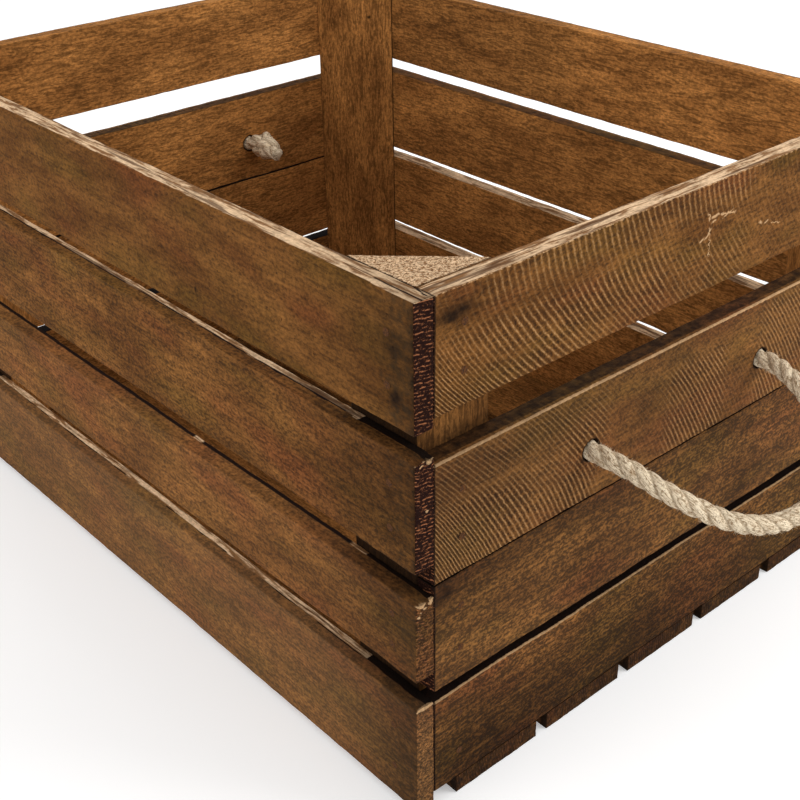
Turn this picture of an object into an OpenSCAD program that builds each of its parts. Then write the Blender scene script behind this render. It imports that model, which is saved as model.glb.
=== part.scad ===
// Kindling crate: an open slatted box of rough-sawn boards on four corner
// posts, with a slatted base and a rope handle at each end.
// Millimetres. X runs along the length, Y across it and Z up. The origin is
// on the floor, below the middle of the box. The front is the long side at
// -Y, and the right end is the one at +X.

/* [Crate] */
// Outside length
crate_l = 745; // [600:5:900]
// Outside width
crate_w = 570; // [500:5:700]
// Height from the floor to the rim
crate_h = 440; // [410:5:520]

/* [Long sides] */
// Thickness of a side board
side_t = 17.5; // [12:0.5:22]
// Height of the top board of the front
front_board_1_h = 95; // [70:1:110]
// Height of the second board of the front
front_board_2_h = 90.5; // [75:0.5:105]
// Height of the third board of the front
front_board_3_h = 71; // [60:1:85]
// Gap below the top board of the front
front_top_gap = 19.5; // [8:0.5:24]
// Gap between two lower boards of the front
front_gap = 26; // [12:1:30]
// Height of the top board of the back
back_board_1_h = 86; // [70:1:110]
// Height of the second board of the back
back_board_2_h = 94; // [75:1:115]
// Height of the third board of the back
back_board_3_h = 86; // [70:1:105]
// Gap below the top board of the back
back_top_gap = 16; // [4:1:24]
// Gap between two lower boards of the back
back_gap = 11; // [4:1:18]
// Height of the long sides' lower edge above the floor
side_foot = 8; // [0:1:16]

/* [Ends] */
// Thickness of an end board
end_t = 17.5; // [14:0.5:22]
// Height of the top board of the right end
right_board_1_h = 88; // [70:1:100]
// Height of the top board of the left end
left_board_1_h = 88; // [70:1:100]
// Hand gap below the top board of the right end
right_hand_gap = 35.5; // [22:0.5:42]
// Hand gap below the top board of the left end
left_hand_gap = 28; // [22:1:42]
// Height of the second board of each end, which holds the rope
end_board_2_h = 99.5; // [90:0.5:115]
// Height of the third board of each end
end_board_3_h = 98; // [80:1:105]
// Seam between the second and the third board of an end
end_seam = 1; // [0.5:0.5:6]
// Gap above the lowest board of an end
end_low_gap = 8; // [3:1:16]

/* [Posts and base] */
// Leg of a corner post's three-cornered section
post_leg = 68; // [56:1:80]
// Leg of the back left post along the back, which was sawn unevenly
back_left_post_l = 80; // [60:1:90]
// Leg of the back left post along the left end
back_left_post_w = 50; // [46:1:68]
// Thickness of a base slat
slat_t = 17.5; // [12:0.5:24]
// Gap between two base slats
slat_gap = 12; // [4:1:20]
// Gap between the front boards and the first slat
slat_front_gap = 23.5; // [2:0.5:30]
// Gap between the last slat and the back boards
slat_back_gap = 3.5; // [1:0.5:30]

/* [Rope handles] */
// Diameter of the rope
rope_d = 16; // [12:0.5:18]
// Distance between the two rope holes of an end
rope_span = 214; // [170:2:240]
// Depth of the rope holes below the upper edge of their board
rope_drop = 56.5; // [40:0.5:62]
// Clearance round the rope in its hole
rope_play = 1; // [0.5:0.25:2]
// Distance from the end board's face to the line on which the loop swings
swing_out = 10; // [9.5:0.5:16]
// Clearance between the swinging loop and the rope that stays in the hole
swing_gap = 0.3; // [0.2:0.1:0.8]
// Diameter of a knot
knot_d = 44; // [40:1:50]
// Length of a knot
knot_l = 36; // [32:1:40]
// Length of the rope's tail behind a knot
tail_l = 20; // [10:1:30]

/* [Nails] */
// Diameter of a nail
nail_d = 2.8; // [2:0.1:4]
// Diameter of a nail's head
nail_head_d = 6; // [5:0.5:8]
// Thickness of a nail's head
nail_head_t = 1.2; // [0.8:0.1:2]
// Length of a nail
nail_l = 40; // [34:1:46]
// Depth of a nail's head below the wood
nail_set = 0.3; // [0.1:0.1:0.6]
// Clearance round a nail
nail_play = 0.05; // [0.02:0.01:0.1]
// Distance of the side boards' nails from the ends of the crate
side_nail_inset = 26; // [25:1:34]
// Wood left between two nails that cross in a post or in an end board
nail_cross = 4; // [3:1:8]

/* [Hidden] */
$fn = 32;

// A cut runs this far past the face it opens
past = 1;
// Each board has two nails at each end, at these shares of its height
nail_shares = [0.3, 0.7];
slat_count = 5;
rope_r = rope_d / 2;
rope_sides = 12;

wood = [0.47, 0.31, 0.17];
post_wood = [0.52, 0.34, 0.18];
base_wood = [0.36, 0.25, 0.15];
steel = [0.30, 0.27, 0.25];
jute = [0.78, 0.72, 0.58];

// The right loop's route from its hole in the end board to its middle, as
// [out of the board, across from the middle, up from the hole]. The other
// half mirrors it. It was chosen for holes route_span apart.
route_span = 214;
rope_route = [
    [0, 107, 0], [12, 107, 0], [36, 102, -4], [58, 95, -12],
    [80, 83, -22], [99, 67, -32], [112, 44, -40], [118, 15, -45]
];

// Boards are numbered from the rim down. A gap comes before each board, and
// the lowest board takes up what is left of the height.
front_gaps = [0, front_top_gap, front_gap, front_gap];
back_gaps = [0, back_top_gap, back_gap, back_gap];
right_gaps = [0, right_hand_gap, end_seam, end_low_gap];
left_gaps = [0, left_hand_gap, end_seam, end_low_gap];
front_h = filled([front_board_1_h, front_board_2_h, front_board_3_h], front_gaps, side_foot);
back_h = filled([back_board_1_h, back_board_2_h, back_board_3_h], back_gaps, side_foot);
right_h = filled([right_board_1_h, end_board_2_h, end_board_3_h], right_gaps, slat_t);
left_h = filled([left_board_1_h, end_board_2_h, end_board_3_h], left_gaps, slat_t);

inner_w = crate_w - 2 * side_t;
inner_l = crate_l - 2 * end_t;
slat_w = (inner_w - slat_front_gap - slat_back_gap - (slat_count - 1) * slat_gap) / slat_count;

// Nails in the ends pass behind the points of those in the long sides, and
// the lowest pass above the points of those in the base.
end_nail_inset = nail_l + nail_set + nail_cross;
low_nail_z = nail_l + nail_set + nail_cross;

right_hole_z = crate_h - edge(right_h, right_gaps, 1) - rope_drop;
left_hole_z = crate_h - edge(left_h, left_gaps, 1) - rope_drop;

// Depth below the rim of board i's upper edge
function edge(heights, gaps, i) =
    i == 0 ? gaps[0] : edge(heights, gaps, i - 1) + heights[i - 1] + gaps[i];

// The heights of three boards with that of the lowest one added
function filled(heights, gaps, foot) =
    concat(heights, [crate_h - foot - edge(heights, gaps, 3)]);

// Height above the floor of nail k in board i
function nail_z(heights, gaps, i, k) =
    crate_h - edge(heights, gaps, i) - (1 - nail_shares[k]) * heights[i];

function slat_y(i) = -inner_w / 2 + slat_front_gap + i * (slat_w + slat_gap);

function unit(v) = v / norm(v);

// A nail that is driven along +Z, with its head's face at the origin
module nail() {
    point = 2 * nail_d;
    cylinder(d = nail_head_d, h = nail_head_t);
    cylinder(d = nail_d, h = nail_l - point);
    translate([0, 0, nail_l - point]) cylinder(d1 = nail_d, d2 = nail_d / 4, h = point);
}

// The hole that such a nail leaves
module nail_hole() {
    translate([0, 0, -nail_set - past])
        cylinder(d = nail_head_d + 2 * nail_play, h = nail_set + past + nail_head_t);
    cylinder(d = nail_d + 2 * nail_play, h = nail_l + nail_play);
}

// Places its children as the nails of one long side: side is -1 for the
// front and 1 for the back
module at_side_nails(side, heights, gaps, boards = [0 : 3]) {
    for (i = boards, end = [-1, 1], k = [0, 1])
        translate([end * (crate_l / 2 - side_nail_inset), side * (crate_w / 2 - nail_set),
                nail_z(heights, gaps, i, k)])
            rotate([side * 90, 0, 0]) children();
}

// Places its children as the nails of one end: side is 1 for the right end
// and -1 for the left
module at_end_nails(side, heights, gaps, boards = [0 : 3]) {
    for (i = boards, end = [-1, 1], k = [0, 1]) {
        z = nail_z(heights, gaps, i, k);
        translate([side * (crate_l / 2 - nail_set), end * (crate_w / 2 - end_nail_inset),
                i == 3 && k == 0 ? low_nail_z : z])
            rotate([0, -side * 90, 0]) children();
    }
}

// Places its children as the nails that hold the slats under the ends
module at_base_nails(slats = [0 : slat_count - 1], ends = [-1, 1]) {
    for (i = slats, end = ends, k = [0, 1])
        translate([end * (crate_l / 2 - end_t / 2), slat_y(i) + nail_shares[k] * slat_w, nail_set])
            children();
}

module side_board(side, heights, gaps, i) {
    h = heights[i];
    y = side < 0 ? -crate_w / 2 : crate_w / 2 - side_t;
    color(wood) difference() {
        translate([-crate_l / 2, y, crate_h - edge(heights, gaps, i) - h])
            cube([crate_l, side_t, h]);
        at_side_nails(side, heights, gaps, [i]) nail_hole();
    }
}

module end_board(side, heights, gaps, i) {
    h = heights[i];
    x = side < 0 ? -crate_l / 2 : crate_l / 2 - end_t;
    color(wood) difference() {
        translate([x, -inner_w / 2, crate_h - edge(heights, gaps, i) - h])
            cube([end_t, inner_w, h]);
        at_end_nails(side, heights, gaps, [i]) nail_hole();
        if (i == 1) at_rope_holes(side) cylinder(r = rope_r + rope_play, h = 2 * end_t, center = true);
        if (i == 3) at_base_nails(ends = [side]) nail_hole();
    }
}

// A post stands in the corner of two walls, from the slats to the rim. Its
// section has one leg along the side wall and one across it, along the end.
module post(end, side, end_heights, end_gaps, along = post_leg, across = post_leg) {
    heights = side < 0 ? front_h : back_h;
    gaps = side < 0 ? front_gaps : back_gaps;
    color(post_wood) difference() {
        translate([end * inner_l / 2, side * inner_w / 2, slat_t])
            linear_extrude(crate_h - slat_t)
                polygon([[0, 0], [-end * along, 0], [0, -side * across]]);
        at_side_nails(side, heights, gaps) nail_hole();
        at_end_nails(end, end_heights, end_gaps) nail_hole();
    }
}

module base_slat(i) {
    color(base_wood) difference() {
        translate([-crate_l / 2, slat_y(i), 0]) cube([crate_l, slat_w, slat_t]);
        at_base_nails([i]) nail_hole();
    }
}

// Places its children in both rope holes of one end, with +Z out of the crate
module at_rope_holes(side) {
    for (across = [-1, 1])
        translate([side * (crate_l / 2 - end_t), across * rope_span / 2,
                side > 0 ? right_hole_z : left_hole_z])
            rotate([0, side * 90, 0]) children();
}

// The knot inside the end board, its tail, and the rope that stays in the
// hole. The rope ends in a ball about which the loop swings.
module rope_knot() {
    intersection() {
        translate([0, 0, -knot_l / 2]) sphere(d = knot_d);
        translate([0, 0, -knot_l]) cylinder(d = 2 * knot_d, h = knot_l);
    }
    translate([0, 0, -knot_l - tail_l])
        cylinder(r = rope_r, h = tail_l + knot_l + end_t + swing_out);
    translate([0, 0, end_t + swing_out]) sphere(r = rope_r);
}

// The loop's centreline, from one ball to the other
loop_start = swing_out + rope_r + swing_gap;
loop_half = concat(
    [[loop_start, rope_span / 2, 0]],
    [for (i = [2 : len(rope_route) - 1])
        [rope_route[i][0], rope_route[i][1] * rope_span / route_span, rope_route[i][2]]]
);
loop_line = concat(
    loop_half,
    [for (i = [len(loop_half) - 1 : -1 : 0]) [loop_half[i][0], -loop_half[i][1], loop_half[i][2]]]
);

// Direction of a line at its point i; its ends leave square to the board
function heading(line, i) =
    i == 0 ? [1, 0, 0] :
    i == len(line) - 1 ? [-1, 0, 0] :
    unit(line[i + 1] - line[i - 1]);

// Points of the ring round a line's point i
function ring(line, i) =
    let (t = heading(line, i), u = unit(cross(t, [0, 0, 1])), v = cross(u, t))
    [for (k = [0 : rope_sides - 1])
        line[i] + rope_r * (cos(360 * k / rope_sides) * u + sin(360 * k / rope_sides) * v)];

module rope_tube(line) {
    n = rope_sides;
    last = len(line) - 1;
    polyhedron(
        points = [for (i = [0 : last], p = ring(line, i)) p],
        faces = concat(
            [[for (k = [0 : n - 1]) k]],
            [for (i = [0 : last - 1], k = [0 : n - 1])
                [i * n + k, (i + 1) * n + k, (i + 1) * n + (k + 1) % n, i * n + (k + 1) % n]],
            [[for (k = [n - 1 : -1 : 0]) last * n + k]]
        )
    );
}

module rope_handle(side, hole_z) {
    color(jute) translate([side * crate_l / 2, 0, hole_z]) rotate([0, 0, side > 0 ? 0 : 180])
        rope_tube(loop_line);
}

post(-1, -1, left_h, left_gaps);  // front_left_post
post(1, -1, right_h, right_gaps);  // front_right_post
post(-1, 1, left_h, left_gaps, back_left_post_l, back_left_post_w);  // back_left_post
post(1, 1, right_h, right_gaps);  // back_right_post

side_board(-1, front_h, front_gaps, 0);  // front_board_1
side_board(-1, front_h, front_gaps, 1);  // front_board_2
side_board(-1, front_h, front_gaps, 2);  // front_board_3
side_board(-1, front_h, front_gaps, 3);  // front_board_4
side_board(1, back_h, back_gaps, 0);  // back_board_1
side_board(1, back_h, back_gaps, 1);  // back_board_2
side_board(1, back_h, back_gaps, 2);  // back_board_3
side_board(1, back_h, back_gaps, 3);  // back_board_4

end_board(1, right_h, right_gaps, 0);  // right_board_1
end_board(1, right_h, right_gaps, 1);  // right_board_2
end_board(1, right_h, right_gaps, 2);  // right_board_3
end_board(1, right_h, right_gaps, 3);  // right_board_4
end_board(-1, left_h, left_gaps, 0);  // left_board_1
end_board(-1, left_h, left_gaps, 1);  // left_board_2
end_board(-1, left_h, left_gaps, 2);  // left_board_3
end_board(-1, left_h, left_gaps, 3);  // left_board_4

base_slat(0);  // base_slat_1
base_slat(1);  // base_slat_2
base_slat(2);  // base_slat_3
base_slat(3);  // base_slat_4
base_slat(4);  // base_slat_5

color(steel) at_side_nails(-1, front_h, front_gaps) nail();  // front_nails
color(steel) at_side_nails(1, back_h, back_gaps) nail();  // back_nails
color(steel) at_end_nails(1, right_h, right_gaps) nail();  // right_nails
color(steel) at_end_nails(-1, left_h, left_gaps) nail();  // left_nails
color(steel) at_base_nails() nail();  // base_nails

rope_handle(1, right_hole_z);  // right_rope_handle
rope_handle(-1, left_hole_z);  // left_rope_handle
color(jute) at_rope_holes(1) rope_knot();  // right_rope_knots
color(jute) at_rope_holes(-1) rope_knot();  // left_rope_knots
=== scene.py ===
"""The kindling crate dressed for rendering: sawn boards, posts, slats, nails and rope handles.

Sizes are in millimetres, in the frame of the CAD model: X along the crate, Y across it, Z up.
They become metres where a mesh, a lamp or the camera is made.
"""

import math
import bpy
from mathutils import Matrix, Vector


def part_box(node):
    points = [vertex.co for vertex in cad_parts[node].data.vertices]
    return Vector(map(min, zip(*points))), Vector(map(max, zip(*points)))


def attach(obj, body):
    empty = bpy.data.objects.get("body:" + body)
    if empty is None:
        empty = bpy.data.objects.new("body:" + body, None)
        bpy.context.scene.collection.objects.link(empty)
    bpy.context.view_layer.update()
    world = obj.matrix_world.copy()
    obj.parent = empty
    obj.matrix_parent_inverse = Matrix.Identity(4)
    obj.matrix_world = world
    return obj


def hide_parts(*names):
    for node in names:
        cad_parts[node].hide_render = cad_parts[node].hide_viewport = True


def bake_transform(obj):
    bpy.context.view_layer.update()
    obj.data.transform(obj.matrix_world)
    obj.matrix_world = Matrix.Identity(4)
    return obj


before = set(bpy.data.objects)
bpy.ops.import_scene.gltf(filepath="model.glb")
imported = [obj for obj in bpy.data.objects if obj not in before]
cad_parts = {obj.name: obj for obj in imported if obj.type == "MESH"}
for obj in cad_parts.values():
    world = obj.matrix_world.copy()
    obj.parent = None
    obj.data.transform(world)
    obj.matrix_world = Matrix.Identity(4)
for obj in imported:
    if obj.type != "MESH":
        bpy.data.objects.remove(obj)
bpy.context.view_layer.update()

from types import SimpleNamespace

import bpy
import numpy as np
from mathutils import Matrix

MM = 0.001
TURN = 2 * math.pi

# The photograph's camera, solved from the straight edges of the crate
LENS_MM = 58.75
SENSOR_MM = 36.0
CAMERA_AT = (899.5, -757.5, 782.5)
CAMERA_RIGHT = (0.66402, 0.7476, -0.01294)
CAMERA_UP = (-0.36656, 0.34056, 0.86583)
CAMERA_BACK = (0.6517, -0.57018, 0.50018)
NEAREST_M = 0.01
FURTHEST_M = 60

# The studio: the strengths of its light and of the floor's own glow, and the lamps, each with
# its place, what it points at, its size in metres and its watts
WORLD_LIGHT = 0.8
FLOOR_HALF = 8000
FLOOR_TONE = 0.9
FLOOR_GLOW = 0.3
LAMPS = {
    "key": ((2200, 1600, 1900), (100, 0, 200), 1.6, 38),
    "fill": ((-600, -2600, 1600), (0, 0, 200), 2.0, 16),
}
WHITE = (1, 1, 1, 1)

# Sizes of part.scad
END_X = 372.5
POST_LEG = 68
HOLE_R = 9
HOLE_ACROSS = 107
HOLE_Z = {"right": 260, "left": 267.5}
SWING_OUT = 22


# ---- Node trees and meshes


class Nodes:
    """The node tree of a new material or world, with short calls for its nodes."""

    def __init__(self, owner):
        owner.use_nodes = True
        self.owner = owner
        self.tree = owner.node_tree
        self.tree.nodes.clear()

    def node(self, kind, inputs=(), **settings):
        """A new node. Inputs are a dict, by name or number, of values and other nodes' outputs."""
        made = self.tree.nodes.new("ShaderNode" + kind)
        for key, value in settings.items():
            setattr(made, key, value)
        for key, value in dict(inputs).items():
            if isinstance(value, bpy.types.NodeSocket):
                self.tree.links.new(value, made.inputs[key])
            else:
                made.inputs[key].default_value = value
        return made

    def out(self, kind, inputs=(), **settings):
        """The first output of a new node."""
        return self.node(kind, inputs, **settings).outputs[0]

    def math(self, operation, total, *values):
        """An operation on one value, or on several from left to right."""
        for value in values or (0.0,):
            total = self.out("Math", {0: total, 1: value}, operation=operation)
        return total

    def add(self, *values):
        return self.math("ADD", *values)

    def times(self, *values):
        return self.math("MULTIPLY", *values)

    def attribute(self, name):
        return self.node("Attribute", attribute_name=name).outputs["Vector"]

    def split(self, vector):
        return tuple(self.node("SeparateXYZ", {0: vector}).outputs)

    def stretch(self, vector, x, y=1.0, z=1.0):
        return self.out("VectorMath", {0: vector, 1: (x, y, z)}, operation="MULTIPLY")

    def noise(self, vector, size, detail=2.0, roughness=0.5, distortion=0.0):
        """Noise round 0.5 whose largest lumps have that size, in the vector's units."""
        return self.out("TexNoise", {"Vector": vector, "Scale": 1 / size, "Detail": detail,
                                     "Roughness": roughness, "Distortion": distortion})

    def step(self, value, low, high, to_low=0.0, to_high=1.0):
        """A smooth step of value from low to high."""
        return self.out("MapRange", {"Value": value, "From Min": low, "From Max": high,
                                     "To Min": to_low, "To Max": to_high},
                        interpolation_type="SMOOTHSTEP")

    def spots(self, vector, size, radius, chosen):
        """Round spots, one in some of the cells of that size. Radius and chosen are shares."""
        cells = self.node("TexVoronoi", {"Vector": vector, "Scale": 1 / size}).outputs
        pick = self.split(cells["Color"])[0]
        near = self.step(cells["Distance"], radius, radius * 0.5)
        return self.times(near, self.step(pick, 1 - chosen, 1 - chosen + 0.04))

    def mix(self, share, a, b):
        return self.node("Mix", {0: share, 6: a, 7: b}, data_type="RGBA").outputs[2]

    def brighten(self, colour, factor):
        if not isinstance(colour, bpy.types.NodeSocket):
            colour = colour[:3]
        return self.out("VectorMath", {0: colour, "Scale": factor}, operation="SCALE")

    def close(self, colour, roughness, height, depth, specular):
        """Ends a material: a rough surface with bumps of that depth in millimetres."""
        bump = self.out("Bump", {"Distance": depth * MM, "Height": height})
        shader = self.out("BsdfPrincipled", {"Base Color": colour, "Roughness": roughness,
                                             "Specular IOR Level": specular, "Normal": bump})
        self.node("OutputMaterial", {0: shader})
        return self.owner


def metres(point):
    return [x * MM for x in point]


def add_object(name, data):
    made = bpy.data.objects.new(name, data)
    bpy.context.collection.objects.link(made)
    return made


def mesh_object(name, points, faces, attributes):
    """A new smooth mesh object from points in millimetres, with its point attributes: three
    columns each, of which some may be plain numbers."""
    points = np.asarray(points)
    mesh = bpy.data.meshes.new(name)
    mesh.from_pydata((points * MM).tolist(), [], faces)
    mesh.update()
    for key, columns in attributes.items():
        values = np.column_stack([np.broadcast_to(column, len(points)) for column in columns])
        layer = mesh.attributes.new(key, "FLOAT_VECTOR", "POINT")
        layer.data.foreach_set("vector", values.astype(np.float32).ravel())
    mesh.polygons.foreach_set("use_smooth", np.ones(len(mesh.polygons), bool))
    return add_object(name, mesh)


def tube_faces(rings, count):
    """The faces of a closed tube, whose rings of points follow each other."""
    ring = np.arange(count)
    after = (ring + 1) % count
    faces = []
    for low in range(0, (rings - 1) * count, count):
        high = low + count
        faces += np.stack([low + ring, low + after, high + after, high + ring], -1).tolist()
    return faces + [ring[::-1].tolist(), ((rings - 1) * count + ring).tolist()]


# ---- Camera, floor and light


def place(made, at, *axes):
    """Puts an object at a point, with its own axes along those of the frame."""
    made.matrix_world = Matrix.Translation(metres(at)) @ Matrix(axes).transposed().to_4x4()


def add_camera():
    data = bpy.data.cameras.new("camera")
    data.lens = LENS_MM
    data.sensor_width = SENSOR_MM
    data.clip_start = NEAREST_M
    data.clip_end = FURTHEST_M
    camera = add_object("camera", data)
    place(camera, CAMERA_AT, CAMERA_RIGHT, CAMERA_UP, CAMERA_BACK)
    bpy.context.scene.camera = camera


def add_lamp(name, at, towards, size, watts):
    """A round soft lamp; size in metres."""
    data = bpy.data.lights.new(name, "AREA")
    data.shape = "DISK"
    data.size = size
    data.energy = watts
    back = np.array(at, float) - np.array(towards, float)
    back /= np.linalg.norm(back)
    side = np.cross((0, 0, 1), back)
    side /= np.linalg.norm(side)
    place(add_object(name, data), at, side, np.cross(back, side), back)


def seen_directly(n):
    """A factor that is 1 for rays from the camera, also by way of gloss or glass."""
    path = n.node("LightPath").outputs
    ways = (path[f"Is {kind} Ray"] for kind in ("Camera", "Glossy", "Transmission"))
    return n.math("MAXIMUM", *ways)


def set_world():
    """Plain white light, in front of a white backdrop."""
    world = bpy.data.worlds.new("studio")
    bpy.context.scene.world = world
    n = Nodes(world)
    light = n.out("Background", {"Color": WHITE, "Strength": WORLD_LIGHT})
    backdrop = n.out("Background", {"Color": WHITE})
    shader = n.out("MixShader", {0: seen_directly(n), 1: light, 2: backdrop})
    n.node("OutputWorld", {0: shader})


def add_floor():
    """A plain white floor, lifted a little so that it meets the white backdrop."""
    half = FLOOR_HALF
    corners = [(-half, -half, 0), (half, -half, 0), (half, half, 0), (-half, half, 0)]
    floor = mesh_object("floor", corners, [(0, 1, 2, 3)], {})
    n = Nodes(bpy.data.materials.new("floor_white"))
    matt = n.out("BsdfDiffuse", {"Color": (FLOOR_TONE, FLOOR_TONE, FLOOR_TONE, 1)})
    lifted = n.out("AddShader", {0: matt, 1: n.out("Emission", {"Strength": FLOOR_GLOW})})
    shader = n.out("MixShader", {0: seen_directly(n), 1: matt, 2: lifted})
    n.node("OutputMaterial", {0: shader})
    floor.data.materials.append(n.owner)


# ---- Materials


def srgb(red, green, blue):
    """A colour given as it looks on a screen, from 0 to 255."""
    def linear(x):
        x /= 255
        return x / 12.92 if x <= 0.04045 else ((x + 0.055) / 1.055) ** 2.4
    return (linear(red), linear(green), linear(blue), 1)


OUTER_DARK = srgb(95, 60, 27)
OUTER_LIGHT = srgb(121, 80, 39)
OUTER_RED = srgb(112, 61, 33)
OUTER_OLIVE = srgb(94, 69, 27)
DRAB = srgb(70, 55, 36)
FADED = srgb(158, 124, 92)
# Painted highlight on the saw marks' crests and painted shade in their furrows
CREST_HIGHLIGHT = srgb(190, 145, 96)
FURROW_SHADE = srgb(44, 26, 13)
FLECK = srgb(50, 28, 13)
INNER_DARK = srgb(132, 86, 43)
INNER_LIGHT = srgb(175, 119, 63)
RIM_PALE = srgb(221, 187, 149)
RIM_BROWN = srgb(134, 95, 60)
# Painted shade on upper edges inside the gaps and over the posts
RIM_SHADE = srgb(26, 15, 10)
END_DARK = srgb(31, 11, 6)
END_PALE = srgb(172, 108, 70)
WORN = srgb(204, 164, 120)
SOOT_AND_SHADE = srgb(30, 19, 12)
CRACK = srgb(36, 21, 13)
RIM_CRACK = srgb(84, 56, 36)
ROPE_DARK = srgb(166, 135, 100)
ROPE_PALE = srgb(255, 237, 206)
ROPE_KNOT = srgb(140, 108, 70)
ROPE_CREASE_SHADE = srgb(122, 92, 58)
ROPE_SPECK = srgb(116, 84, 52)
STAINED_STEEL = srgb(56, 32, 15)
RUST = srgb(96, 59, 27)


def outer_face(n, grain, grit, contrast):
    """Mottled brown stain with faint grain and small dark flecks."""
    patches = n.noise(n.stretch(grain, 0.35), 34, 3)
    blush = n.noise(n.stretch(grain, 0.45), 60, 2)
    streak = n.noise(n.stretch(grain, 0.07), 2.6, 4, 0.6, 0.5)
    smudge = n.noise(n.stretch(grain, 0.6), 8, 3, 0.6)
    colour = n.mix(n.step(patches, 0.36, 0.66), OUTER_DARK, OUTER_LIGHT)
    colour = n.mix(n.step(blush, 0.5, 0.7, 0, 0.5), colour, OUTER_RED)
    colour = n.mix(n.step(blush, 0.5, 0.32, 0, 0.5), colour, OUTER_OLIVE)
    shade = n.add(n.step(streak, 0.3, 0.7, -0.22, 0.22), n.step(grit, 0.33, 0.67, -0.42, 0.42),
                  n.step(smudge, 0.3, 0.7, -0.22, 0.22))
    colour = n.brighten(colour, n.math("MAXIMUM", n.add(1.0, n.times(shade, contrast)), 0.42))
    large = n.spots(n.stretch(grain, 0.6), 13, 0.15, 0.3)
    small = n.spots(n.stretch(grain, 0.6), 4.0, 0.25, 0.34)
    small = n.times(small, n.step(smudge, 0.44, 0.58))
    flecks = n.math("MAXIMUM", n.times(large, 0.6), n.times(small, 0.7))
    colour = n.mix(n.times(flecks, 0.5), colour, FLECK)
    nicks = n.noise(n.stretch(grain, 1.3), 4.5, 2, 0.5)
    return n.mix(n.step(nicks, 0.67, 0.72, 0, 0.7), colour, FLECK)


def inner_face(n, grain, grit):
    """Warmer and rougher, with wavy grain lines."""
    patches = n.noise(n.stretch(grain, 0.35), 30, 3)
    lines = n.noise(n.stretch(grain, 0.16), 3.4, 3, 0.6, 1.6)
    colour = n.mix(n.step(patches, 0.34, 0.68, 0.12, 0.88), INNER_DARK, INNER_LIGHT)
    ridge = n.step(lines, 0.40, 0.58, 0.6, 1.2)
    return n.brighten(colour, n.times(ridge, n.step(grit, 0.33, 0.67, 0.66, 1.34))), lines


def end_grain(n, grain, grit, outer, cut):
    """Dark sawn ends with fine pale lines; cut is how much an end looks like the faces."""
    _, across, through = n.split(grain)
    saw = n.math("SINE", n.add(n.times(across, 2.1), n.times(through, 0.35),
                               n.times(n.noise(grain, 9, 2), 10)))
    broken = n.step(n.noise(grain, 3.4, 3, 0.65), 0.46, 0.62)
    pale = n.times(n.step(saw, 0.25, 0.9), broken)
    pale = n.add(n.times(pale, 0.8), n.step(grit, 0.53, 0.68, 0, 0.3))
    colour = n.mix(pale, END_DARK, END_PALE)
    rough = n.brighten(outer, n.step(grit, 0.32, 0.66, 0.5, 1.35))
    return n.mix(cut, colour, rough), saw


def rim_face(n, grain, grit, tone):
    """Upper edges, pale where hands and weather have worn the stain off, and cracked. Inside the gaps
    of the walls the pale inner part is painted light from inside the crate, and the dark part is
    painted shade.
    """
    streak = n.noise(n.stretch(grain, 0.11), 4.2, 4, 0.62, 0.6)
    crack = n.noise(n.stretch(grain, 0.05), 5, 2, 0.5, 0.4)
    blotch = n.noise(n.stretch(grain, 0.5), 10, 3, 0.6)
    colour = n.mix(n.step(streak, 0.40, 0.56), RIM_BROWN, RIM_PALE)
    shade = n.add(n.step(blotch, 0.3, 0.7, 0.82, 1.1), n.step(grit, 0.32, 0.68, -0.2, 0.2))
    colour = n.brighten(colour, shade)
    colour = n.mix(n.step(crack, 0.41, 0.36, 0, 0.75), colour, RIM_CRACK)
    pale = n.step(n.add(tone, n.times(blotch, 0.6)), 0.55, 0.9)
    # Where it is not pale, the upper edge takes the painted shade colour
    return n.mix(pale, n.brighten(RIM_SHADE, n.step(grit, 0.3, 0.7, 0.6, 1.6)), colour)


def scratches(n, grain, lines):
    """1 on thin ragged lines between pairs of points (along, across) of a board."""
    along, across, _ = n.split(grain)
    ragged = n.times(n.add(n.noise(grain, 4, 3), -0.5), 7)
    along = n.add(along, ragged)
    across = n.add(across, n.times(ragged, 0.6))
    total = 0.0
    for (a0, b0), (a1, b1), width in lines:
        length = math.hypot(a1 - a0, b1 - b0)
        ua = (a1 - a0) / length
        ub = (b1 - b0) / length
        da = n.add(along, -a0)
        db = n.add(across, -b0)
        past_middle = n.add(n.times(da, ua), n.times(db, ub), -length / 2)
        off = n.add(n.times(db, ua), n.times(da, -ub))
        beside = n.step(n.math("ABSOLUTE", past_middle), length / 2 + 1, length / 2 - 2)
        line = n.step(n.math("ABSOLUTE", off), width, 0.3 * width)
        total = n.math("MAXIMUM", total, n.times(beside, line))
    return total


def rippled(n, grain, blotch, outer, phase, sawn):
    """The outer face with the furrows and crests that the saw left, and their height; the furrows get
    painted shade and the crests painted highlights.
    """
    turn = n.times(n.add(phase, n.times(n.noise(grain, 6, 4, 0.6), 0.5)), TURN)
    wave = n.math("SINE", turn)
    dots = n.step(n.noise(n.stretch(grain, 1.1), 2.4, 3, 0.65), 0.4, 0.58)
    broken = n.times(sawn, n.step(blotch, 0.3, 0.6, 0.5, 1.0))
    furrow_shade = n.times(n.step(wave, 0.3, -0.6), n.add(0.34, n.times(dots, 0.62)), broken)
    colour = n.mix(furrow_shade, outer, FURROW_SHADE)
    crest_highlight = n.times(n.step(wave, 0.45, 0.98), n.add(0.3, n.times(dots, 0.5)), broken)
    return n.mix(crest_highlight, colour, CREST_HIGHLIGHT), n.times(wave, broken)


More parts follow.
